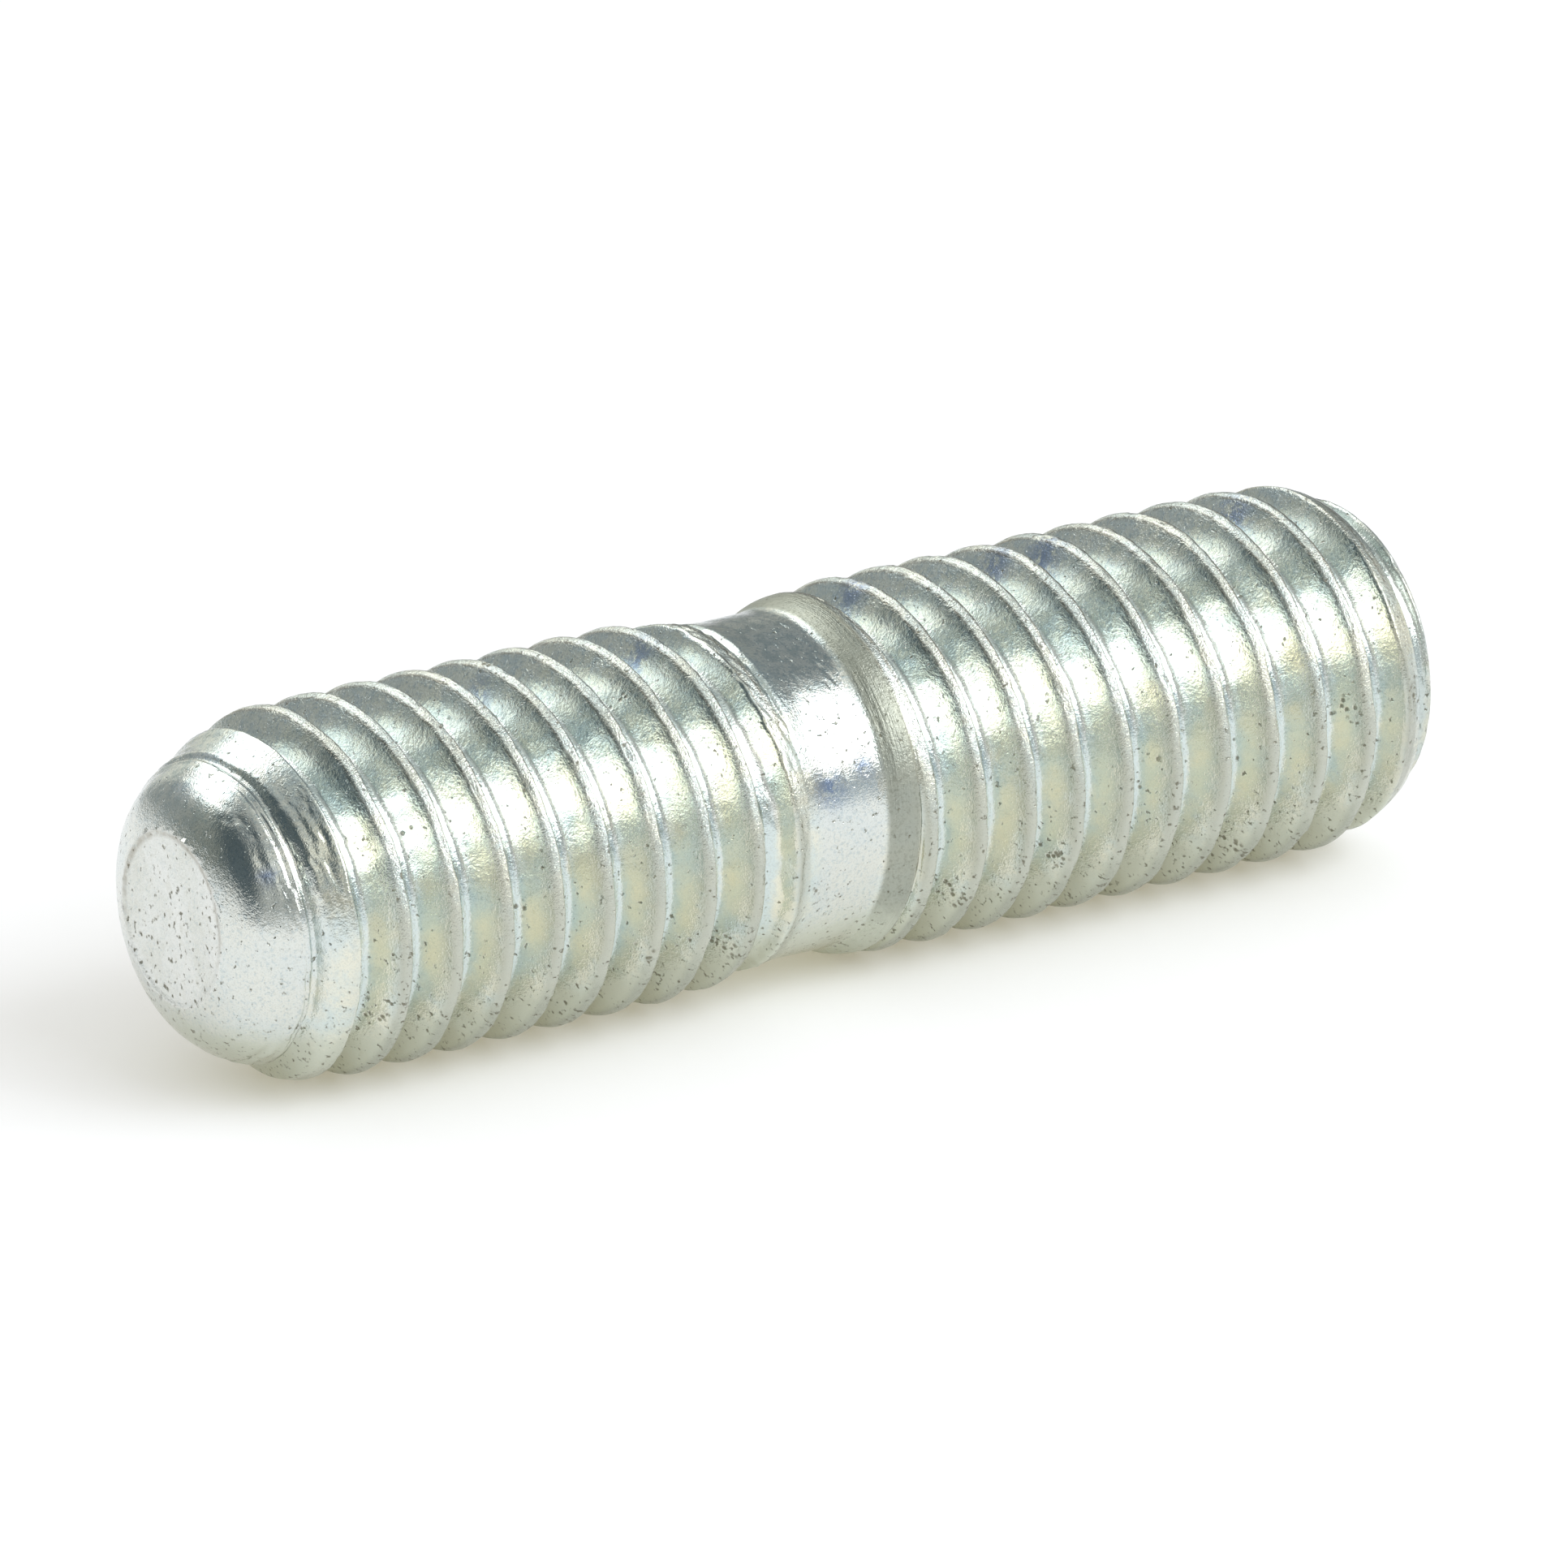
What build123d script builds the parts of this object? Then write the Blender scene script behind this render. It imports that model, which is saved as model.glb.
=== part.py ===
"""Double-ended wheel stud, M8 x 1.25, thread-rolled from one steel blank.

The stud stands on its flat hub end: the origin is the centre of that face, and +Z runs up the
axis to the domed end that the wheel nut goes on. Heights are measured up the axis from the
hub end. All lengths are in millimetres and all angles in degrees.

Both threads are cut as one right-hand helical groove in a rod as wide as their crests. A cone
fills each groove where it runs out, and the turned outline then trims the rods to length.
"""
from build123d import *
import math
import os

# Thread form, the same on both ends
thread_pitch = 1.25
crest_width = 0.28              # flat width of a crest, along the axis
root_width = 0.20               # flat width at the bottom of the groove
flank_angle = 30.0              # each flank from the plane square to the axis

# Radial sizes
nut_thread_diameter = 7.86      # over the crests, domed end
hub_thread_diameter = 7.94      # over the crests, hub end
neck_depth = 0.37               # from the nut thread's crests down to the bare neck
ridge_height = 0.14             # last faint ridge of the nut thread, above the neck
lead_in_depth = 0.73            # from the nut thread's crests to the foot of the dome
dome_flat_diameter = 3.72       # flat disc on top of the dome
dome_bulge = 0.16               # how far the dome's side bows out of its straight chord
chamfer_depth = 0.72            # from the hub thread's crests to the rim of the end face

# Lengths along the axis, from the hub end upwards
chamfer_length = 1.4            # bevel from the end face to the crests
hub_thread_length = 13.6        # end face to the top of the last full crest
shoulder_length = 0.6           # cone from the hub thread down to the neck
neck_length = 1.7
ridge_length = 0.3              # slope from the neck up to the last faint ridge
run_out_length = 1.8            # from that ridge up to full crests
nut_crest_length = 8.7          # full crests of the nut thread
lead_in_length = 2.0            # first turns, growing to full height
dome_height = 1.05

# Grooves
hub_floor_length = 0.9          # the hub thread's groove rises out over this length
nut_floor_length = 2.5          # the nut thread's groove rises out over this length
hub_groove_lead = 0.54          # middle of the top groove below the last full crest, at +X
nut_groove_lead = 1.03          # middle of the top groove below the dome's flat disc, at +X

# Allowances for cutting and trimming
cutter_allowance = 0.12         # the cutter's back stands this far outside the crests
stock_margin = 2.5              # stock left past each end of a thread
floor_allowance = 0.25          # the filling cone reaches this far below the groove's root

# Radii and heights worked out from the sizes above
nut_crest = nut_thread_diameter / 2
hub_crest = hub_thread_diameter / 2
neck = nut_crest - neck_depth
ridge = neck + ridge_height
dome_foot = nut_crest - lead_in_depth
dome_flat = dome_flat_diameter / 2
end_face = hub_crest - chamfer_depth

neck_bottom = hub_thread_length + shoulder_length
neck_top = neck_bottom + neck_length
ridge_top = neck_top + ridge_length
run_out_top = ridge_top + run_out_length
nut_crest_top = run_out_top + nut_crest_length
dome_bottom = nut_crest_top + lead_in_length
overall_length = dome_bottom + dome_height

tan_flank = math.tan(math.radians(flank_angle))
groove_half_width = (thread_pitch - crest_width) / 2
groove_depth = (groove_half_width - root_width / 2) / tan_flank


def cylinder_between(radius, low, high):
    """Upright cylinder on the axis between two heights."""
    return Pos(0, 0, low) * Cylinder(radius, high - low, align=(Align.CENTER, Align.CENTER, Align.MIN))


def cone_through(radius_a, height_a, radius_b, height_b, low, high):
    """Solid cone on the axis through two (radius, height) points, cut off at two heights."""
    slope = (radius_b - radius_a) / (height_b - height_a)
    low_radius = radius_a + slope * (low - height_a)
    high_radius = radius_a + slope * (high - height_a)
    seat = (Align.CENTER, Align.CENTER, Align.MIN)
    return Pos(0, 0, low) * Cone(low_radius, high_radius, high - low, align=seat)


def groove(crest, low, high):
    """Right-hand helical cutter: two flanks, a flat root, and a back outside the crests."""
    bottom = crest - groove_depth
    back = crest + cutter_allowance
    back_half_width = groove_half_width + cutter_allowance * tan_flank
    with BuildSketch(Plane.XZ) as section:
        with BuildLine():
            Polyline(
                (back, low - back_half_width), (bottom, low - root_width / 2),
                (bottom, low + root_width / 2), (back, low + back_half_width), close=True,
            )
        make_face()
    path = Helix(thread_pitch, high - low, crest, center=(0, 0, low))
    return sweep(section.sketch, path=path, is_frenet=True)


def whole_turns_below(height, limit):
    """A height lowered by whole turns of the thread until it is under the limit."""
    turns = math.ceil((height - limit) / thread_pitch)
    return height - turns * thread_pitch


def nut_stock():
    """Rod of the domed end, grooved, and filled where the groove runs out."""
    groove_top = overall_length - nut_groove_lead
    groove_low = whole_turns_below(groove_top, ridge_top)
    rod = cylinder_between(nut_crest, neck_bottom, overall_length + stock_margin)
    root = nut_crest - groove_depth
    slope = (ridge - root) / nut_floor_length
    floor_top = ridge_top + nut_floor_length + floor_allowance / slope
    floor = cone_through(ridge, ridge_top, root, ridge_top + nut_floor_length, neck_bottom, floor_top)
    return rod - groove(nut_crest, groove_low, groove_top + thread_pitch / 2) + floor


def hub_stock():
    """Rod of the hub end, grooved, and filled where the groove meets the shoulder."""
    groove_top = hub_thread_length - hub_groove_lead + thread_pitch
    groove_low = whole_turns_below(groove_top, -thread_pitch)
    rod = cylinder_between(hub_crest, groove_low - stock_margin, neck_bottom)
    root = hub_crest - groove_depth
    slope = groove_depth / hub_floor_length
    floor_foot = hub_thread_length - hub_floor_length
    floor_low = floor_foot - floor_allowance / slope
    floor = cone_through(root, floor_foot, hub_crest, hub_thread_length, floor_low, neck_bottom)
    return rod - groove(hub_crest, groove_low, groove_top) + floor


def outline():
    """Turned outline: chamfered end, both threads' crests, shoulder, neck and dome."""
    foot = Vector(dome_foot, dome_bottom)
    rim = Vector(dome_flat, overall_length)
    across = Vector(rim.Y - foot.Y, foot.X - rim.X).normalized()
    crown = (foot + rim) / 2 + across * dome_bulge
    with BuildSketch(Plane.XZ) as section:
        with BuildLine():
            Polyline(
                (0, 0), (end_face, 0), (hub_crest, chamfer_length), (hub_crest, hub_thread_length),
                (neck, neck_bottom), (neck, neck_top), (ridge, ridge_top), (nut_crest, run_out_top),
                (nut_crest, nut_crest_top), (dome_foot, dome_bottom),
            )
            ThreePointArc(foot, crown, rim)
            Polyline(rim, (0, overall_length), (0, 0))
        make_face()
    return revolve(section.sketch, Axis.Z)


os.makedirs("parts", exist_ok=True)
stud = (nut_stock() + hub_stock()) & outline()
print("stud volume", round(stud.volume, 2), "overall length", round(overall_length, 3))
export_step(stud, "parts/stud.step")
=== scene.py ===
"""Wheel stud, zinc-plated and thread-rolled: the dressed surface, its plating and a small studio.

The stud stands on its flat hub end with its axis along +Z. It is shown as if it lay on a
tabletop: the tabletop is the upright plane that touches the threads on the -X side, and the
camera is rolled so that +X is up in the picture.
"""

import bpy
import numpy as np
from mathutils import Matrix, Vector


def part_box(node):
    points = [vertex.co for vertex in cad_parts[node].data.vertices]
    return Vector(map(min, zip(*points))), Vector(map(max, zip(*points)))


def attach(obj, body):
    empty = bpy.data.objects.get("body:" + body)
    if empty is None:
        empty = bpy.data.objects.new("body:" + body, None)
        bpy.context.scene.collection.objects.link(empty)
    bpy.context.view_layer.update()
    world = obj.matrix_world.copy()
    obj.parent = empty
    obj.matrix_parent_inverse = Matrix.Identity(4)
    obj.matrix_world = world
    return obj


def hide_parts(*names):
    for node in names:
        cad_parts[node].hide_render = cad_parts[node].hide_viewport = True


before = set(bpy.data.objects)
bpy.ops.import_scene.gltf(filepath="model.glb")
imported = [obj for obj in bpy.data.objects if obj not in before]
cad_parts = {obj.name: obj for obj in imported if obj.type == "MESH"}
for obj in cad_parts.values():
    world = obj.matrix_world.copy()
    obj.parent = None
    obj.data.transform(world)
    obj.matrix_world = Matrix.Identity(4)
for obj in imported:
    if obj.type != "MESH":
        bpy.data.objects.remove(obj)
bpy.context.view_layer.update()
mm = 0.001

# Heights and radii of the stud, in millimetres, from its packed box
stud_low, stud_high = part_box("stud")
stud_length = stud_high.z / mm
box_gap = 0.006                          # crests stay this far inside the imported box
hub_crest = stud_high.x / mm - box_gap
nut_crest = hub_crest - 0.005
neck_middle = 15.0                       # the nut thread is above it, the hub thread below

# Thread form, in millimetres
pitch = 1.25
crest_near_edge = 0.07                   # from a crest's middle towards the domed end
crest_far_edge = 0.08                    # and towards the hub end
flank_slope = 3 ** 0.5                   # each flank stands 30 degrees from square
groove_depth = 0.78
root_blend = 0.03                        # soft round at the bottom of the groove
near_corner_blend = 0.05                 # corner of a crest that faces the domed end
far_corner_blend = 0.06                  # rough corner that faces the hub end
crown_start = -0.22                      # from here a crest falls towards the domed end
crest_fall = 0.75                        # fall at one millimetre from there
overreach = 0.01                         # threads stand this far over the crest's radius
outline_blend = 0.03                     # soft round where the outline trims a thread
nut_crest_height = 28.095                # middle of a crest at +X, domed end
hub_crest_height = 13.74                 # middle of a crest at +X, hub end

# Outline over the crests: height above the hub end and radius
outline_heights = (0.0, 0.08, 0.22, 0.45, 0.85, 1.35, 1.95, 2.75, 12.60, 12.95, 13.12, 13.30,
                   13.55, 13.78, 13.92, 14.05, 14.16, 14.28, 14.42, 14.60, 15.30, 15.80, 16.10,
                   16.40, 16.65, 17.10, 17.30, 17.50, 17.70, 18.00, 26.40, 27.20, 27.72, 27.85,
                   28.35, 28.45, 28.65, 28.72, 28.77, 28.85, 29.05, 29.27, 29.48, 29.66, 29.75)
outline_radii = (3.08, 3.20, 3.35, 3.48, 3.67, 3.86, 3.93, 3.964, 3.964, 3.95, 3.92, 3.88,
                 3.85, 3.84, 3.82, 3.79, 3.755, 3.69, 3.635, 3.605, 3.60, 3.603, 3.63,
                 3.67, 3.73, 3.775, 3.79, 3.84, 3.90, 3.958, 3.958, 3.87, 3.74, 3.66,
                 3.335, 3.285, 3.235, 3.165, 3.155, 3.12, 2.97, 2.79, 2.52, 2.13, 1.86)

# Lift of the nut thread's root: it fills the groove where that runs out into the neck, and
# is below zero by the dome, where the groove is deeper
lift_heights = (15.30, 16.05, 16.45, 16.85, 17.40, 18.20, 27.60, 28.30)
lift_amounts = (0.62, 0.60, 0.42, 0.20, 0.06, 0.0, 0.0, -0.08)

# Spans of height where a feature starts, is full, starts to fade and is gone
nut_rows = (16.0, 17.0, 27.6, 28.6)      # grid rows crowd towards the crests
hub_rows = (0.3, 1.2, 13.6, 14.3)
nut_finish = (16.1, 16.6, 26.9, 27.9)    # finish of the threads
hub_finish = (0.0, 0.4, 13.7, 14.0)
lead_in_heights = (28.10, 28.30, 29.10, 29.35)
lap_heights = (27.70, 27.90, 28.80, 28.95)
last_crest = (16.3, 16.6, 17.0, 17.3)    # rough crest at the end of the run-out
shoulder = (13.66, 13.76, 14.33, 14.45)

# The same for distances from a crest's middle, in mm, positive towards the domed end
land_reach = (-0.22, -0.12, 0.08, 0.18)  # top of a crest
nick_reach = (-0.20, -0.10, 0.08, 0.18)
flank_reach = (0.14, 0.26, 0.46, 0.60)

# The same for degrees down from the edge that is uppermost in view, over the near side
drift_side = (40.0, 110.0, 200.0, 330.0)
shade_side = (86.0, 98.0, 125.0, 150.0)
glint_side = (58.0, 66.0, 97.0, 106.0)

# Places where a feature starts and is full, as heights unless a note says otherwise
nut_thread_end = (28.85, 29.0)
hub_thread_end = (13.75, 13.95)
hub_run_out = (13.25, 13.85)
thread_change = (15.0, 15.1)
drift_end = (16.9, 17.5)
lead_in_shift = (27.9, 28.4)
hub_rim = (0.5, 1.3)
hub_chamfer = (0.6, 1.8)
lap_side = (40.0, 75.0)                  # degrees down
seam_side = (2.1, 3.1)                   # mm above the axis as the stud lies; laps above it are darkened as painted shade
root_reach = (0.40, 0.55)                # mm from a crest's middle

# Marks beside a crest: middle and width, as distances from the crest's middle
lead_in_line = (-0.43, 0.06)
shade_line = (0.13, 0.10)
glint_line = (0.485, 0.05)
glint_patch = (0.38, 0.17)
straw_patch_low = (0.36, 0.13)
straw_patch_high = (0.24, 0.11)
near_seam = 0.12
near_seam_width = 0.022
far_seam_nut = -0.11
far_seam_hub = -0.08
far_seam_width = 0.035

# Where the patches lie: middle and width, as degrees down
glint_patch_side = (43.0, 8.0)
straw_low_side = (119.0, 13.0)
straw_high_side = (82.0, 14.0)
straw_low_wander = 6.0                   # degrees, with the broad swell

# Strengths of marks that aren't full
glint_patch_share = 0.6
shade_share_nut = 0.75
chamfer_coarseness = 0.3

# Seeded swells: wavelength in mm and seed
swell_waves = (1.6, 3)
jitter_waves = (0.45, 5)
burr_waves = (0.22, 9)

# Sizes of the fine relief, in millimetres
swell_sway = 0.010                       # how far crests wander with the broad swell
jitter_sway = 0.007                      # and with the finer one
drift_most = 0.08
drift_least = -0.05
first_turn_shift = 0.06
lead_in_groove = 0.030
lap_depth = 0.011
lap_spacing = 0.23
lap_wander = 0.02
swell_height = 0.004
jitter_height = 0.0015
last_crest_height = 0.013
nick_depth = 0.012
nick_from = 0.6                          # only what stands over this in a swell makes a nick
rim_dent = 0.035
dent_from = 0.7
seam_depth = 0.006
far_seam_wander = 0.012
near_seam_wander = 0.006
clear_away = 5.0                         # lifts a thread out of the way past its end

# Blue spots and pitted spots: height in mm, angle in degrees and reach in mm
mark_radius = 3.8                        # of the cylinder that marks and swells are laid on
pitted_spots = ((25.78, -55, 0.12), (23.08, -54, 0.12), (19.16, -60, 0.12), (20.37, -115, 0.22),
                (23.40, -92, 0.30), (23.58, -13, 0.20), (19.59, -24, 0.20), (21.88, 3, 0.22),
                (18.08, -127, 0.40), (16.05, -108, 0.18), (17.31, -75, 0.16), (4.05, -34, 0.25),
                (2.68, -85, 0.40), (7.56, -89, 0.18), (12.34, -125, 0.42), (7.72, -101, 0.20),
                (11.71, -18, 0.16), (0.90, -85, 0.25), (4.79, -137, 0.35), (26.9, -120, 0.40),
                (15.6, -112, 0.20), (27.4, -70, 0.18), (9.9, -118, 0.30))
blue_spots = ((12.68, 2, 0.35), (9.03, 3, 0.40), (7.82, 3, 0.50), (2.88, 3, 0.45),
              (15.75, -73, 0.36), (14.85, -68, 0.22), (29.05, -59, 0.20),
              (22.4, -2, 0.35), (18.4, -5, 0.35))
upper_edge = 23.0                        # angle of the edge that is uppermost in view
surface_radius = 3.9                     # of the stud, for how far up a point lies

# Surface grid: rows follow the thread's helix
rows_per_turn = 32
columns = 112
start_angle = np.radians(205.0)          # the rows' joint faces down and away
row_crowding = 0.5
cap_rings = 12
ring_crowding = 1.7
lip_share = 0.06                         # how far in an end face's lip reaches
hub_face_drop = -0.02                    # from a rim down to its face, which lies inside it
disc_drop = 0.03                         # from the dome's rim down to its flat disc
disc_ring = (1.80, 0.05)                 # radius and width of the dark ring on the disc
disc_ring_side = (-0.9, 0.6)             # mm above the axis where it starts and is full


def smooth_min(a, b, k):
    """Lesser of a and b, with a parabola of depth k/4 where they differ by less than k."""
    h = np.clip(0.5 + 0.5 * (b - a) / k, 0.0, 1.0)
    return b + (a - b) * h - k * h * (1.0 - h)


def smooth_max(a, b, k):
    """Greater of a and b, blended in the same way."""
    return -smooth_min(-a, -b, k)


def ease(low, high, x):
    """0 below low, 1 above high, and 3t^2 - 2t^3 between them."""
    t = np.clip((x - low) / (high - low), 0.0, 1.0)
    return t * t * (3.0 - 2.0 * t)


def window(span, x):
    """Rises from 0 to 1 between the span's first two places, and falls to 0 between the
    last two, by the same curve."""
    start, full, fade, gone = span
    return ease(start, full, x) * (1 - ease(fade, gone, x))


def hump(x, middle, width):
    """Bell curve exp(-((x - middle) / width)^2)."""
    return np.exp(-((x - middle) / width) ** 2)


def curve_through(x, knots, values):
    """Smooth curve through points: a cubic on each span, with the harmonic mean of the two
    neighbouring slopes at each knot, so that it never overshoots."""
    xs, ys = np.array(knots, float), np.array(values, float)
    slope = np.diff(ys) / np.diff(xs)
    product = slope[1:] * slope[:-1]
    total = np.where(product > 0, slope[1:] + slope[:-1], 1.0)
    inner = np.where(product > 0, 2.0 * product / total, 0.0)
    tangent = np.concatenate(([slope[0]], inner, [slope[-1]]))
    i = np.clip(np.searchsorted(xs, x, side="right") - 1, 0, len(xs) - 2)
    h = xs[i + 1] - xs[i]
    t = np.clip((x - xs[i]) / h, 0.0, 1.0)
    return (ys[i] * (1 + 2 * t) * (1 - t) ** 2 + h * tangent[i] * t * (1 - t) ** 2
            + ys[i + 1] * t * t * (3 - 2 * t) + h * tangent[i + 1] * t * t * (t - 1))


def ripple(points, wavelength, seed, waves=28):
    """Random smooth swell of about unit height: a sum of plane waves with seeded directions
    and phases, cos(k . p + phase), whose wavelengths lie near the one given."""
    rng = np.random.default_rng(seed)
    direction = rng.normal(size=(waves, 3))
    direction /= np.linalg.norm(direction, axis=1, keepdims=True)
    number = 2 * np.pi / (wavelength * rng.uniform(0.7, 1.5, waves))
    phase = rng.uniform(0, 2 * np.pi, waves)
    return np.cos(points @ (direction * number[:, None]).T + phase).sum(1) * (2 / waves) ** 0.5


def thread_form(offset, crest, root_lift):
    """Radius of an endless thread at an axial offset from a crest's middle, positive towards
    the domed end. Two straight flanks fall from the crest's edges to the root. The crest
    itself is crest - fall * max(offset - start, 0)^2, so it is lower towards the domed end."""
    edge = np.where(offset > 0, crest_near_edge, crest_far_edge)
    flank = crest - flank_slope * (np.abs(offset) - edge)
    crown = crest - crest_fall * np.maximum(offset - crown_start, 0.0) ** 2
    blend = np.where(offset > 0, near_corner_blend, far_corner_blend)
    top = smooth_min(flank, crown, blend)
    return smooth_max(top, crest - groove_depth + root_lift, root_blend)


def offset_from_crest(turn_height, crest_height):
    """Axial distance to the nearest crest's middle, from -half a pitch to half a pitch."""
    return (turn_height - crest_height + pitch / 2) % pitch - pitch / 2


def crowd(offset):
    """Shift that draws rows towards a crest: minus a share of a sine over one pitch."""
    return -row_crowding * pitch / (2 * np.pi) * np.sin(2 * np.pi * offset / pitch)


def stud_rows():
    """Height, angle and thread offsets of every grid point. A row keeps its turn height, the
    height less pitch times angle over a full turn, so that it runs along the helix."""
    count = int(np.ceil((stud_length + pitch) / pitch * rows_per_turn)) + 1
    turn_height = -pitch + np.arange(count) * pitch / rows_per_turn
    share = np.arange(columns) / columns
    angle = start_angle + 2 * np.pi * share
    lift = pitch * angle / (2 * np.pi)
    level = turn_height[:, None] + pitch * share[None, :]
    helix = level - lift[None, :]
    nut = offset_from_crest(helix, nut_crest_height)
    hub = offset_from_crest(helix, hub_crest_height)
    nut_shift = window(nut_rows, level) * crowd(nut)
    hub_shift = window(hub_rows, level) * crowd(hub)
    height = level + nut_shift + hub_shift
    return height, np.broadcast_to(angle, height.shape), nut + nut_shift, hub + hub_shift


def spots(place, marks):
    """Soft spots on a cylinder: the greatest of exp(-(distance / reach)^2) over the marks."""
    total = np.zeros(len(place))
    for height, degrees, reach in marks:
        turn = np.radians(degrees)
        middle = np.array((mark_radius * np.cos(turn), mark_radius * np.sin(turn), height))
        distance = np.linalg.norm(place - middle, axis=1)
        total = np.maximum(total, np.exp(-(distance / reach) ** 2))
    return total


class Side:
    """The threaded side at every grid point: its height, how far up and down it lies in view,
    its offsets from a crest's middle, and three seeded swells, from broad to fine."""

    def __init__(self, height, angle, nut, hub):
        self.height = height
        self.by_nut = height > neck_middle
        self.up = surface_radius * np.cos(angle)
        self.down = (upper_edge - np.degrees(angle)) % 360.0
        x = mark_radius * np.cos(angle)
        y = mark_radius * np.sin(angle)
        self.place = np.stack([x, y, height], -1).reshape(-1, 3)
        self.swell = self.ripples(*swell_waves)
        self.jitter = self.ripples(*jitter_waves)
        self.burr = self.ripples(*burr_waves)
        self.nut = self.shifted(self.wandering(nut))
        self.hub = self.wandering(hub)
        self.offset = np.where(self.by_nut, self.nut, self.hub)

    def ripples(self, wavelength, seed):
        """A seeded swell at every grid point."""
        return ripple(self.place, wavelength, seed).reshape(self.height.shape)

    def spots(self, marks):
        """Soft spots at every grid point."""
        return spots(self.place, marks).reshape(self.height.shape)

    def wandering(self, offset):
        """Crests wander a little along the axis with the two broader swells."""
        return offset + swell_sway * self.swell + jitter_sway * self.jitter

    def shifted(self, nut):
        """The run-out's crests drift with the angle, and the first turn by the dome is moved."""
        drift = drift_most * window(drift_side, self.down) + drift_least
        nut = nut + drift * (1 - ease(*drift_end, self.height))
        return nut + first_turn_shift * ease(*lead_in_shift, self.height)

    def outline(self):
        """Outline over the crests, less a faint groove and fine laps, depth times one plus a
        cosine of the offset, on the lead-in."""
        outline = curve_through(self.height, outline_heights, outline_radii)
        line = hump(self.nut, *lead_in_line)
        outline -= window(lead_in_heights, self.height) * lead_in_groove * line
        laps = window(lap_heights, self.height) * ease(*lap_side, self.down)
        turns = (self.nut + lap_wander * self.jitter) / lap_spacing
        return outline - laps * lap_depth * (1 + np.cos(2 * np.pi * turns))

    def threads(self):
        """Thread form of each end, whose root is lifted where the groove runs out."""
        nut_lift = curve_through(self.height, lift_heights, lift_amounts)
        hub_lift = groove_depth * ease(*hub_run_out, self.height)
        nut = thread_form(self.nut, nut_crest + overreach, nut_lift)
        hub = thread_form(self.hub, hub_crest + overreach, hub_lift)
        nut = nut + clear_away * ease(*nut_thread_end, self.height)
        hub = hub + clear_away * ease(*hub_thread_end, self.height)
        upper = ease(*thread_change, self.height)
        return nut * upper + hub * (1 - upper)

    def radius(self):
        """Lesser of the outline and the thread form, plus swells, a rough last crest, nicks on
        the crests and dents by the hub end's rim."""
        radius = smooth_min(self.outline(), self.threads(), outline_blend)
        ragged = window(last_crest, self.height) * self.burr
        radius += swell_height * self.swell + jitter_height * self.jitter
        radius += last_crest_height * ragged
        nicks = window(nick_reach, self.offset) * np.maximum(self.burr - nick_from, 0.0)
        dents = (1 - ease(*hub_rim, self.height)) * np.maximum(self.jitter - dent_from, 0.0)
        radius -= nick_depth * nicks + rim_dent * dents
        return np.minimum(radius, hub_crest)

    def laps_and_shade(self):
        """Dark laps along both edges of a crest, on the upper side only: a lap, drawn darker
        there as painted shade.
        """
        far = np.where(self.by_nut, far_seam_nut, far_seam_hub) + far_seam_wander * self.jitter
        near = near_seam + near_seam_wander * self.burr
        lines = hump(self.offset, far, far_seam_width) + hump(self.offset, near, near_seam_width)
        return ease(*seam_side, self.up) * lines

    def glints(self):
        """Bright line by the root of a near flank, and a soft patch higher on the stud."""
        line = hump(self.offset, *glint_line) * window(glint_side, self.down)
        faint = hump(self.offset, *glint_patch) * hump(self.down, *glint_patch_side)
        return line + glint_patch_share * faint

    def straw_reflections(self):
        """Two straw-coloured patches on each near flank, painted reflections. The lower one
        wanders round it.
        """
        middle, width = straw_low_side
        middle = middle + straw_low_wander * self.swell
        low = hump(self.offset, *straw_patch_low) * hump(self.down, middle, width)
        high = hump(self.offset, *straw_patch_high) * hump(self.down, *straw_high_side)
        return low + high

    def shades(self):
        """Soft shade beside a crest, fainter at the nut end."""
        strength = np.where(self.by_nut, shade_share_nut, 1.0)
        return hump(self.offset, *shade_line) * window(shade_side, self.down) * strength

    def masks(self):
        """Shares from 0 to 1, one for each finish or painted light that the plating mixes in."""
        threaded = np.where(self.by_nut, window(nut_finish, self.height),
                            window(hub_finish, self.height))
        chamfer = 1 - ease(*hub_chamfer, self.height)
        coarse = window(shoulder, self.height) + chamfer_coarseness * chamfer
        return {
            "land": threaded * window(land_reach, self.offset),
            "seam": threaded * self.laps_and_shade(),
            "flank": threaded * window(flank_reach, self.offset),
            "root": threaded * ease(*root_reach, np.abs(self.offset)),
            "shade": threaded * self.shades(),
            "glint": threaded * self.glints(),
            "straw": threaded * self.straw_reflections(),
            "rough": coarse,
            "disc": np.zeros(self.height.shape),
            "pitted": self.spots(pitted_spots),
            "blued": self.spots(blue_spots),
        }


def end_rings(rim_radius, rim_height, drop):
    """Rings of a closed end face, from its rim towards the axis and closer by the rim. A
    narrow lip is left there, because the face drops within a small share of the way in."""
    way = (np.arange(1, cap_rings) / cap_rings) ** ring_crowding
    way = way[:, None] * np.ones(columns)[None, :]
    return rim_radius * (1 - way), rim_height - drop * ease(0.0, lip_share, way)


def stud_points(radius, height, angle):
    """Radius, height and angle of every point, in this order: the side's grid, the rims of
    the lower and upper end, the rings inside them, and the middles of both faces."""
    around = angle[0]
    low_rings = end_rings(outline_radii[0], 0.0, hub_face_drop)
    top_rings = end_rings(outline_radii[-1], stud_length, disc_drop)
    ring_angle = np.broadcast_to(around, low_rings[0].shape)
    middles = np.array([-hub_face_drop, stud_length - disc_drop])
    blocks = (
        (radius, height, angle),
        (np.full(columns, outline_radii[0]), np.zeros(columns), around),
        (np.full(columns, outline_radii[-1]), np.full(columns, stud_length), around),
        (*low_rings, ring_angle),
        (*top_rings, ring_angle),
        (np.zeros(2), middles, np.zeros(2)),
    )
    return [np.concatenate([block[part].ravel() for block in blocks]) for part in range(3)]


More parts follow.
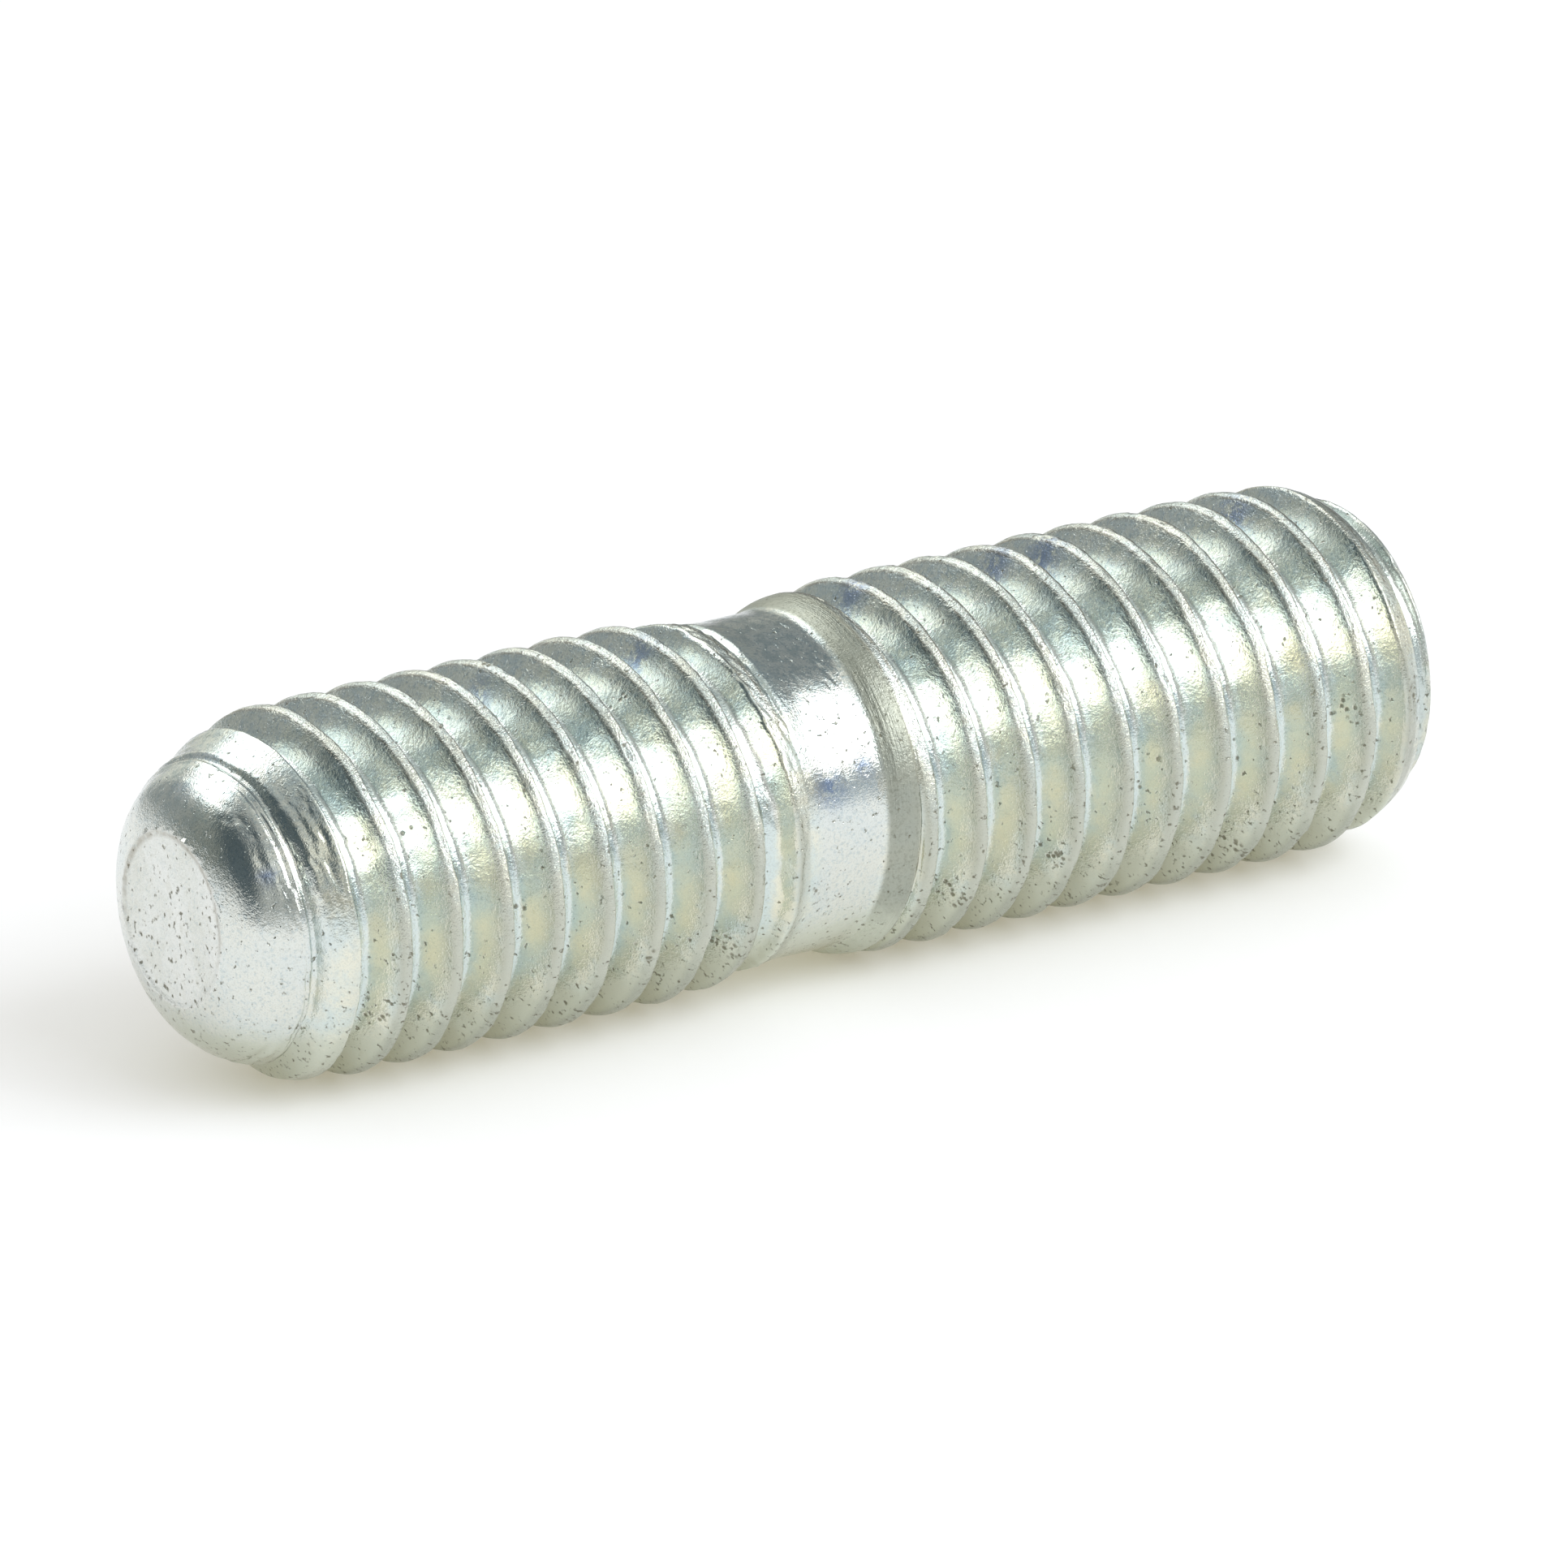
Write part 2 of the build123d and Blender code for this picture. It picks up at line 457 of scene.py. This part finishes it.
def quads(lower_left, lower_right, upper_right, upper_left):
    """Triangles, two to each quad, without those that have two corners in one point."""
    first = np.stack([lower_left, lower_right, upper_right], -1).reshape(-1, 3)
    second = np.stack([lower_left, upper_right, upper_left], -1).reshape(-1, 3)
    faces = np.concatenate([first, second])
    real = ((faces[:, 0] != faces[:, 1]) & (faces[:, 1] != faces[:, 2])
            & (faces[:, 2] != faces[:, 0]))
    return faces[real]


def side_faces(height, low_rim, top_rim):
    """Faces of the side. Points beyond an end give way to its rim. Rows climb with the helix,
    so the last column of a row meets the first column of the row one turn higher."""
    left = np.arange(height.size).reshape(height.shape)
    left = np.where(height >= stud_length, top_rim[None, :], left)
    left = np.where(height <= 0.0, low_rim[None, :], left)
    turn_higher = np.roll(left[:, :1], -rows_per_turn, 0)
    turn_higher[-rows_per_turn:] = top_rim[0]
    right = np.concatenate([left[:, 1:], turn_higher], 1)
    return quads(left[:-1], right[:-1], right[1:], left[1:])


def end_faces(rim, first, middle, facing_down):
    """Faces of an end: from its rim over the rings, whose points are numbered from the first,
    to its middle."""
    inner = first + np.arange((cap_rings - 1) * columns).reshape(-1, columns)
    ring = np.vstack([rim, inner, np.full(columns, middle)])
    step = np.roll(ring, -1, 1)
    if facing_down:
        return quads(ring[1:], step[1:], step[:-1], ring[:-1])
    return quads(ring[:-1], step[:-1], step[1:], ring[1:])


def stud_faces(height):
    """Triangles of the side and both ends, over points numbered as in stud_points."""
    low_rim = height.size + np.arange(columns)
    top_rim = low_rim + columns
    low_first = top_rim[-1] + 1
    top_first = low_first + (cap_rings - 1) * columns
    low_middle = top_first + (cap_rings - 1) * columns
    return np.concatenate([
        side_faces(height, low_rim, top_rim),
        end_faces(low_rim, low_first, low_middle, True),
        end_faces(top_rim, top_first, low_middle + 1, False),
    ])


def triangle_mesh(name, points, faces):
    """Smooth-shaded mesh of triangles."""
    mesh = bpy.data.meshes.new(name)
    mesh.vertices.add(len(points))
    mesh.vertices.foreach_set("co", points.astype(np.float32).ravel())
    mesh.loops.add(faces.size)
    mesh.loops.foreach_set("vertex_index", faces.astype(np.int32).ravel())
    mesh.polygons.add(len(faces))
    mesh.polygons.foreach_set("loop_start", np.arange(0, faces.size, 3, dtype=np.int32))
    mesh.update(calc_edges=True)
    mesh.validate()
    mesh.polygons.foreach_set("use_smooth", np.ones(len(mesh.polygons), bool))
    return mesh


def end_masks(radius, height, angle):
    """Masks of the rims and end faces: both faces and the upper rim are dressed as the disc,
    and the dome's disc has a dark ring by its rim, on its upper side."""
    face = (np.arange(len(radius)) >= columns).astype(float)
    dome = (height > stud_length / 2).astype(float)
    ring = hump(radius, *disc_ring) * ease(*disc_ring_side, radius * np.cos(angle))
    return {"disc": face, "seam": face * dome * ring}


def build_stud():
    """One closed surface of the side and both end faces, with the masks as attributes."""
    height, angle, nut, hub = stud_rows()
    side = Side(np.clip(height, 0, stud_length), angle, nut, hub)
    masks = side.masks()
    radius = side.radius() - seam_depth * masks["seam"]
    r, z, a = stud_points(radius, height, angle)
    points = np.stack([r * np.cos(a), r * np.sin(a), z], -1) * mm
    faces = stud_faces(height)

    used, compact = np.unique(faces, return_inverse=True)
    mesh = triangle_mesh("stud_skin", points[used], compact.reshape(faces.shape))
    ends = end_masks(r[height.size:], z[height.size:], a[height.size:])
    bare = np.zeros(len(r) - height.size)
    for name, mask in masks.items():
        values = np.concatenate([mask.ravel(), ends.get(name, bare)])[used]
        attribute = mesh.attributes.new(name, "FLOAT", "POINT")
        attribute.data.foreach_set("value", values.astype(np.float32))
    piece = bpy.data.objects.new("stud_skin", mesh)
    bpy.context.scene.collection.objects.link(piece)
    return piece


class Value:
    """An output of a node. As a number it can be added, multiplied and so on, and each such
    step adds a Math node."""

    def __init__(self, shader, socket):
        self.shader = shader
        self.socket = socket

    def math(self, operation, a, b=0.0):
        """Result of a Math node over one or two numbers."""
        return self.shader.value("ShaderNodeMath", {"operation": operation}, {0: a, 1: b})

    def maximum(self, other):
        """Greater of two numbers."""
        return self.math("MAXIMUM", self, other)

    def __abs__(self):
        return self.math("ABSOLUTE", self)

    def __neg__(self):
        return self.math("SUBTRACT", 0.0, self)

    def __add__(self, other):
        return self.math("ADD", self, other)

    def __radd__(self, other):
        return self.math("ADD", other, self)

    def __sub__(self, other):
        return self.math("SUBTRACT", self, other)

    def __rsub__(self, other):
        return self.math("SUBTRACT", other, self)

    def __mul__(self, other):
        return self.math("MULTIPLY", self, other)

    def __rmul__(self, other):
        return self.math("MULTIPLY", other, self)


def opaque(colour):
    """A plain colour with 1 as its fourth number. A colour from a node stays as it is."""
    return colour if isinstance(colour, Value) else (*colour, 1.0)


class Shader:
    """The node tree of a material or a world, with one way to add a node."""

    def __init__(self, owner):
        owner.use_nodes = True
        self.tree = owner.node_tree
        self.tree.nodes.clear()

    def node(self, kind, settings=None, inputs=None):
        """Adds a node: its settings are set first, then its sockets' values or links."""
        made = self.tree.nodes.new(kind)
        for name, setting in (settings or {}).items():
            setattr(made, name, setting)
        for name, given in (inputs or {}).items():
            socket = made.inputs[name]
            if isinstance(given, Value):
                self.tree.links.new(given.socket, socket)
            else:
                socket.default_value = given
        return made

    def value(self, kind, settings=None, inputs=None, output=0):
        """Adds a node and gives one of its outputs."""
        return Value(self, self.node(kind, settings, inputs).outputs[output])

    def vector(self, operation, a, b, output=0):
        """Result of a Vector Math node over two vectors."""
        return self.value("ShaderNodeVectorMath", {"operation": operation}, {0: a, 1: b}, output)

    def place(self):
        """Place in the object's own frame, in metres."""
        return self.value("ShaderNodeTexCoord", {}, {}, "Object")

    def part(self, place, axis):
        """One of a place's three numbers, by the name of its axis."""
        return self.value("ShaderNodeSeparateXYZ", {}, {"Vector": place}, axis)

    def ramp(self, x, low, high):
        """0 below low and 1 above high, eased between."""
        return self.value("ShaderNodeMapRange", {"interpolation_type": "SMOOTHSTEP"},
                          {"Value": x, "From Min": low, "From Max": high})

    def window(self, x, start, full, fade, gone):
        """Rises from 0 to 1 from start to full, and falls back from fade to gone."""
        return self.ramp(x, start, full) * (1 - self.ramp(x, fade, gone))

    def noise(self, place, scale, detail, roughness):
        """Cloudy noise from 0 to 1."""
        return self.value("ShaderNodeTexNoise", {}, {"Vector": place, "Scale": scale,
                          "Detail": detail, "Roughness": roughness})

    def attribute(self, name):
        """A mask of the mesh, by name."""
        return self.value("ShaderNodeAttribute", {"attribute_name": name}, {}, "Fac")

    def blend(self, share, a, b):
        """Mixes two colours: a where share is 0 and b where it is 1."""
        return self.value("ShaderNodeMix", {"data_type": "RGBA"},
                          {0: share, 6: opaque(a), 7: opaque(b)}, 2)

    def emission(self, colour, strength):
        """Light of a colour given off by the surface."""
        return self.value("ShaderNodeEmission", {}, {"Color": opaque(colour),
                          "Strength": strength})

    def finish(self, kind, surface):
        """Links a shader to the output of the material or the world."""
        self.node(kind, {}, {"Surface": surface})


# Colours of the plating and of what lies on it, and of painted reflection and shade
zinc_straw = (0.79, 0.79, 0.68)
zinc_blue = (0.66, 0.745, 0.735)
upper_reflection_cool = (0.69, 0.77, 0.77)
zinc_plain = (0.72, 0.745, 0.72)
blue_speck_and_reflection = (0.40, 0.50, 0.54)
blue_reflection_cloud = (0.48, 0.58, 0.63)
green_reflection_cloud = (0.42, 0.50, 0.50)
blue_spot_colour = (0.30, 0.38, 0.54)
grey_grain = (0.44, 0.45, 0.39)
straw_reflection = (0.88, 0.83, 0.60)
worn_grain = (0.60, 0.58, 0.53)
low_crest_shade = (0.54, 0.56, 0.49)
flank_shade = (0.44, 0.45, 0.37)
flank_glint = (0.97, 0.98, 0.95)
rolled_grey = (0.36, 0.38, 0.325)
rolled_speck = (0.24, 0.25, 0.20)
disc_pale = (0.84, 0.85, 0.82)
disc_smudge = (0.58, 0.59, 0.51)
low_shade_grey = (0.60, 0.63, 0.54)
low_shade_crest = (0.40, 0.42, 0.36)
pit_brown = (0.19, 0.18, 0.13)
lap_brown_and_shade = (0.30, 0.27, 0.21)


# Noises of the plating: scale in features to a millimetre, detail and roughness
cloud_noise = (0.9, 3.0, 0.55)
mottle_noise = (4.0, 4.0, 0.65)
pit_noise = (8.0, 2.0, 0.5)
speckle_noise = (13.0, 3.0, 0.6)
grain_noise = (28.0, 2.0, 0.6)
hair_noise = (1.0, 3.0, 0.6)
hair_stretch = (1.1, 1.1, 22.0)          # hairs are long round the stud and fine along it
pit_cell_scale = 5.5

# Spans of the material, like those of the surface: millimetres, or a noise's value
upper_reach = (1.4, 3.2)                 # above the axis as the stud lies, where painted reflection tints the upper side
low_shade_reach = (2.1, 3.0)                  # below it, where grey painted shade lies
low_crest_shade_reach = (-1.6, 0.3)                 # below it, where crests get painted shade
calm_dome = (27.9, 28.6)
calm_neck = (14.3, 14.6, 15.9, 16.3)
tint_reach = (0.38, 0.62)
crowded_reach = (1.7, 3.2)
pit_reach = (0.65, 0.78)
pit_cell_reach = (0.16, 0.42)
pitted_reach = (0.3, 0.7)


class Fields:
    """Numbers that the plating mixes by: the surface's masks, noises from broad to fine, and
    shares that depend on the place."""

    masks = ("land", "seam", "flank", "root", "shade", "glint", "straw", "rough", "disc",
             "pitted", "blued")

    def __init__(self, s):
        for name in self.masks:
            setattr(self, name, s.attribute(name))
        place = s.value("ShaderNodeVectorMath", {"operation": "SCALE"}, {0: s.place(), 3: 1 / mm})
        self.cloud = s.noise(place, *cloud_noise)
        self.mottle = s.noise(place, *mottle_noise)
        self.speckle = s.noise(place, *speckle_noise)
        self.grain = s.noise(place, *grain_noise)
        self.hair = s.noise(s.vector("MULTIPLY", place, hair_stretch), *hair_noise)
        self.up = s.part(place, "X")
        # The upper side, which gets painted reflection
        self.upper = s.ramp(self.up, *upper_reach)
        self.calm = self.calm_share(s, s.part(place, "Z"))
        # Painted shade on the lower side, patchy with the mottle, off the end faces
        self.low_shade = s.ramp(self.mottle * 0.9 - self.up, *low_shade_reach) * (1 - self.disc)
        self.pits = self.pit_share(s, place)

    def calm_share(self, s, level):
        """1 on the dome and the bare neck, which are smoother and more neutral."""
        return s.ramp(level, *calm_dome) + s.window(level, *calm_neck)

    def pit_share(self, s, place):
        """Dark pin pits: small dots of noise, denser where a broad noise is high and lower down
        as the stud lies, and round cells in the pitted spots."""
        crowded = s.ramp(self.cloud * 4.0 - self.up * 0.25 + self.disc * 0.8, *crowded_reach)
        more = crowded * 0.06 + self.pitted * 0.05 + self.land * 0.02 - self.disc * 0.005
        dots = s.ramp(s.noise(place, *pit_noise) + more, *pit_reach)
        distance = s.value("ShaderNodeTexVoronoi", {}, {"Vector": place, "Scale": pit_cell_scale})
        cells = (1 - s.ramp(distance, *pit_cell_reach)) * s.ramp(self.pitted, *pitted_reach)
        return dots.maximum(cells)


def plating_colour(s, f):
    """A cloudy blue-to-straw tint, over which each layer is mixed by its own share; some layers
    are painted reflection, highlight or shade.
    """
    tint = f.cloud * 0.7 + f.mottle * 0.3 + f.root * 0.16 - f.flank * 0.06
    colour = s.blend(s.ramp(tint, *tint_reach), zinc_straw, zinc_blue)
    off_land = 1 - f.land * 0.8
    specks = s.ramp(f.speckle, 0.52, 0.66) * off_land
    layers = (
        # Painted reflection: cool, blue and green tints on the upper side; the blue specks lie
        # all over, with more of them there as painted reflection
        (f.upper * 0.4, upper_reflection_cool),
        (f.calm * 0.7, zinc_plain),
        (specks * (f.upper * 0.35 + 0.22 + f.calm * 0.2), blue_speck_and_reflection),
        (f.upper * s.ramp(f.mottle, 0.44, 0.62) * off_land * 0.4, blue_reflection_cloud),
        (f.upper * f.calm * s.ramp(f.mottle, 0.46, 0.58) * 0.45, green_reflection_cloud),
        (f.blued * s.ramp(f.mottle, 0.34, 0.54), blue_spot_colour),
        (s.ramp(f.grain, 0.48, 0.62) * 0.22, grey_grain),
        # Painted reflection: straw patches on the near flanks
        (f.straw * 0.45, straw_reflection),
        (f.land * s.ramp(f.grain, 0.45, 0.60) * 0.25, worn_grain),
        # Painted shade: darker crests on the lower side
        (f.land * s.ramp(-f.up, *low_crest_shade_reach) * 0.85, low_crest_shade),
        (f.shade * 0.7, flank_shade),
        (f.glint * 0.9, flank_glint),
        (f.rough * 0.9, rolled_grey),
        (f.rough * s.ramp(f.speckle, 0.50, 0.64) * 0.4, rolled_speck),
        (f.disc * s.ramp(f.cloud + f.mottle, 0.7, 1.2) * 0.9, disc_pale),
        (f.disc * s.ramp(f.mottle, 0.50, 0.62) * 0.3, disc_smudge),
        # Painted shade low down, grey and darker on the crests
        (f.low_shade * 0.9, low_shade_grey),
        (f.low_shade * f.land * 0.7, low_shade_crest),
        (f.pits * 0.85, pit_brown),
        # Laps by the crests, darkened on the upper side as painted shade
        (f.seam * s.ramp(f.mottle, 0.30, 0.55) * 0.75, lap_brown_and_shade),
    )
    for share, paint in layers:
        colour = s.blend(share, colour, paint)
    return colour


def plating_relief(f):
    """Height for the bump: grain, specks, hairlines round the stud, swells and pits."""
    grain = f.grain * (0.7 + f.land * 2.0 + f.rough + f.disc * 0.6)
    specks = f.speckle * (1.9 + f.land * 1.4 + f.disc - f.calm * 0.9)
    hairs = f.hair * (0.2 + f.land * 0.5 + f.rough * 3.0)
    swells = f.mottle * (1.4 - f.calm * 0.8)
    return grain + specks + hairs + swells - f.pits * 2.0


def plating():
    """Zinc plate over steel: blue and straw tint, dark pits, thin dark laps by the crests, a
    rough rolled shoulder, and painted light: blue reflections on the upper side, straw
    reflections and glints on the near flanks, shade beside the crests and on the upper laps,
    and grey shade low down, darker on the crests."""
    material = bpy.data.materials.new("zinc_plate")
    s = Shader(material)
    f = Fields(s)
    rough = 0.08 + f.mottle * 0.07 + f.land * 0.04 + f.pits * 0.2 + f.disc * 0.20 + f.rough * 0.24
    bump = s.value("ShaderNodeBump", {}, {"Strength": 1.0, "Distance": 6e-6,
                   "Height": plating_relief(f)}, "Normal")
    metal = s.value("ShaderNodeBsdfPrincipled", {}, {"Base Color": plating_colour(s, f),
                    "Metallic": 1.0, "Roughness": rough, "Normal": bump})
    s.finish("ShaderNodeOutputMaterial", metal)
    return material


# Directions over the tabletop: right, up and away from the camera
to_right = Vector((0.0, -0.5678, -0.8231))
to_up = Vector((1.0, 0.0, 0.0))
to_away = Vector((0.0, 0.8231, -0.5678))
middle_height = 0.0149
stud_middle = Vector((0.0, 0.0, middle_height))

# Tabletop and lamps, in metres
table_half_width = 0.20
table_near = 0.30                        # how far it reaches towards the camera
table_far = 0.075
table_white = (0.76, 0.80, 0.88)
table_glow = (0.28, 0.25, 0.175)
lamp_distance = 0.6


def direction(azimuth, elevation):
    """Unit vector at an azimuth from straight away, positive to the right, and a height
    angle above the tabletop, both in degrees."""
    a, e = np.radians(azimuth), np.radians(elevation)
    return (to_right * float(np.sin(a) * np.cos(e)) + to_away * float(np.cos(a) * np.cos(e))
            + to_up * float(np.sin(e)))


def softbox(name, azimuth, elevation, width, height, level):
    """Soft lamp that faces the stud. Its power is pi times its area times its level."""
    lamp = bpy.data.lights.new(name, "AREA")
    lamp.shape = "RECTANGLE"
    lamp.size = width
    lamp.size_y = height
    lamp.energy = level * np.pi * width * height
    box = bpy.data.objects.new(name, lamp)
    back = direction(azimuth, elevation)
    side = to_up.cross(back).normalized()
    turn = Matrix((side, back.cross(side), back)).transposed().to_4x4()
    box.matrix_world = Matrix.Translation(stud_middle + back * lamp_distance) @ turn
    bpy.context.scene.collection.objects.link(box)


def white_share(s):
    """1 for rays from the camera, a glossy bounce or a clear one, and 0 for the rest."""
    path = s.node("ShaderNodeLightPath")
    seen = Value(s, path.outputs["Is Camera Ray"])
    glossy = Value(s, path.outputs["Is Glossy Ray"])
    clear = Value(s, path.outputs["Is Transmission Ray"])
    return seen.maximum(glossy).maximum(clear)


def tabletop_paint():
    """Pale matt paint with a faint glow of its own, and clear from behind."""
    material = bpy.data.materials.new("tabletop_white")
    s = Shader(material)
    glow = s.emission(table_glow, white_share(s))
    paint = s.value("ShaderNodeBsdfDiffuse", {}, {"Color": opaque(table_white)})
    both = s.value("ShaderNodeAddShader", {}, {0: glow, 1: paint})
    clear = s.value("ShaderNodeBsdfTransparent")
    behind = s.value("ShaderNodeNewGeometry", {}, {}, "Backfacing")
    s.finish("ShaderNodeOutputMaterial",
             s.value("ShaderNodeMixShader", {}, {0: behind, 1: both, 2: clear}))
    return material


def tabletop():
    """Flat sheet along the line where the threads touch it, pale on top and clear behind."""
    side = to_right * table_half_width
    near = to_away * -table_near
    far = to_away * table_far
    base = Vector((stud_low.x, 0.0, middle_height))
    corners = [base - side + near, base + side + near, base + side + far, base - side + far]
    mesh = bpy.data.meshes.new("tabletop")
    mesh.from_pydata([c[:] for c in corners], [], [(0, 1, 2, 3)])
    if mesh.polygons[0].normal.x < 0:
        mesh.flip_normals()
    mesh.materials.append(tabletop_paint())
    top = bpy.data.objects.new("tabletop", mesh)
    bpy.context.scene.collection.objects.link(top)


# Cloth of the tent: azimuth, elevation, inner and outer reach in degrees, and brightness
cloth_patches = (
    (-62, 10, 16, 34, (0.36, 0.38, 0.37)),
    (-62, 28, 4, 12, (0.52, 0.56, 0.60)),
    (-97, 8, 8, 24, (0.24, 0.26, 0.24)),
    (-97, 32, 8, 22, (0.42, 0.44, 0.40)),
    (-128, 26, 17, 36, (0.10, 0.125, 0.135)),
    (-132, 12, 8, 22, (0.11, 0.14, 0.155)),
    (158, 28, 8, 20, (0.32, 0.34, 0.33)),
    (-176, 36, 7, 17, (1.0, 1.0, 0.93)),
    (28, 50, 16, 32, (0.30, 0.325, 0.33)),
    (4, 12, 16, 30, (0.30, 0.32, 0.31)),
    (-22, 18, 8, 22, (0.85, 0.85, 0.76)),
    (108, 62, 8, 22, (1.05, 1.05, 1.0)),
    (56, 8, 9, 20, (1.25, 1.22, 1.10)),
    (115, 5, 6, 16, (0.50, 0.57, 0.64)),
)
cloth_side = (0.50, 0.51, 0.49)
cloth_top = (0.60, 0.62, 0.58)

# Bright panels: azimuth, elevation, half width and half height in degrees, and brightness
cloth_panels = (
    (-50, 48, 26, 11, (2.7, 2.7, 2.6)),
    (-33, 50, 15, 19, (2.4, 2.4, 2.3)),
)
panel_softness = 0.05                    # as a sine of the angle
panel_front = (0.1, 0.3)                 # cosines, so that a panel is on one side only

tent_radius = 1.0
tent_below = 0.01                        # its middle is this far below the tabletop
tent_rings = 24
tent_columns = 32
tent_pole_gap = 0.001                    # radians left open at both poles


def along(s, ray, axis):
    """Cosine of the angle between a ray and an axis."""
    return s.vector("DOT_PRODUCT", ray, axis, "Value")


def patch(s, ray, azimuth, elevation, inner, outer):
    """1 within inner degrees of a direction and 0 beyond outer degrees."""
    low = float(np.cos(np.radians(outer)))
    high = float(np.cos(np.radians(inner)))
    return s.ramp(along(s, ray, direction(azimuth, elevation)), low, high)


def panel(s, ray, azimuth, elevation, width, height):
    """1 on a rectangle of sky whose half sides are given in degrees, with soft edges."""
    back = direction(azimuth, elevation)
    side = to_up.cross(back).normalized()
    share = s.ramp(along(s, ray, back), *panel_front)
    for axis, half in ((side, width), (back.cross(side), height)):
        edge = float(np.sin(np.radians(half)))
        way = abs(along(s, ray, axis))
        share = share * (1 - s.ramp(way, edge - panel_softness, edge + panel_softness))
    return share


def tent_cloth():
    """Cloth that glows by the direction it is seen in: grey, with darker and brighter
    patches and two bright panels."""
    material = bpy.data.materials.new("tent_cloth")
    s = Shader(material)
    ray = s.value("ShaderNodeVectorMath", {"operation": "NORMALIZE"}, {0: s.place()})
    level = s.blend(patch(s, ray, 0, 90, 10, 30), cloth_side, cloth_top)
    for *where, brightness in cloth_patches:
        level = s.blend(patch(s, ray, *where), level, brightness)
    for *where, brightness in cloth_panels:
        level = s.blend(panel(s, ray, *where), level, brightness)
    s.finish("ShaderNodeOutputMaterial", s.emission(level, 1.0))
    return material


def tent():
    """Grey cloth shell round the table that only reflections see. Its points are at the
    radius times the unit vector of each azimuth and elevation."""
    top = np.pi / 2 - tent_pole_gap
    e = np.linspace(-top, top, tent_rings)[:, None]
    a = np.linspace(0, 2 * np.pi, tent_columns, endpoint=False)[None, :]
    axes = [np.array(v[:]) for v in (to_right, to_up, to_away)]
    spread = [np.sin(a) * np.cos(e), np.sin(e) + 0 * a, np.cos(a) * np.cos(e)]
    points = sum(part[..., None] * axis for part, axis in zip(spread, axes)).reshape(-1, 3)
    points = points * tent_radius + np.array((stud_low.x - tent_below, 0.0, middle_height))
    index = np.arange(tent_rings * tent_columns).reshape(tent_rings, tent_columns)
    step = np.roll(index, -1, 1)
    faces = np.stack([index[:-1], index[1:], step[1:], step[:-1]], -1).reshape(-1, 4)
    mesh = bpy.data.meshes.new("tent")
    mesh.from_pydata(points.tolist(), [], faces.tolist())
    mesh.materials.append(tent_cloth())
    cover = bpy.data.objects.new("tent", mesh)
    bpy.context.scene.collection.objects.link(cover)
    for rays in ("camera", "diffuse", "transmission", "volume_scatter", "shadow"):
        setattr(cover, "visible_" + rays, False)


def surroundings():
    """White to the camera and in reflections, and an even soft fill for everything else."""
    world = bpy.data.worlds.new("surroundings")
    bpy.context.scene.world = world
    s = Shader(world)
    fill = 0.72
    strength = fill + white_share(s) * (1 - fill)
    sky = s.value("ShaderNodeBackground", {}, {"Color": (1, 1, 1, 1), "Strength": strength})
    s.finish("ShaderNodeOutputWorld", sky)


def camera():
    """Long lens, high on the domed end's side, rolled until the tabletop is level."""
    lens = bpy.data.cameras.new("camera")
    lens.lens = 430.0
    lens.sensor_width = 36.0
    lens.clip_start = 0.01
    lens.clip_end = 10.0
    eye = bpy.data.objects.new("camera", lens)
    place = Vector((0.12890, -0.30422, 0.22438))
    up = Vector((0.9441, 0.2712, -0.1871))
    back = Vector((0.3295, -0.7771, 0.5361))
    turn = Matrix((to_right, up, back)).transposed().to_4x4()
    eye.matrix_world = Matrix.Translation(place) @ turn
    bpy.context.scene.collection.objects.link(eye)
    bpy.context.scene.camera = eye


camera()
skin = build_stud()
skin.data.materials.append(plating())
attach(skin, "root")
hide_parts("stud")

tabletop()
tent()
surroundings()
softbox("key_right", 101, 39, 0.35, 0.38, 2.9)
softbox("key_behind", 132, 40, 0.28, 0.36, 2.7)

bpy.context.scene.view_settings.view_transform = "Standard"
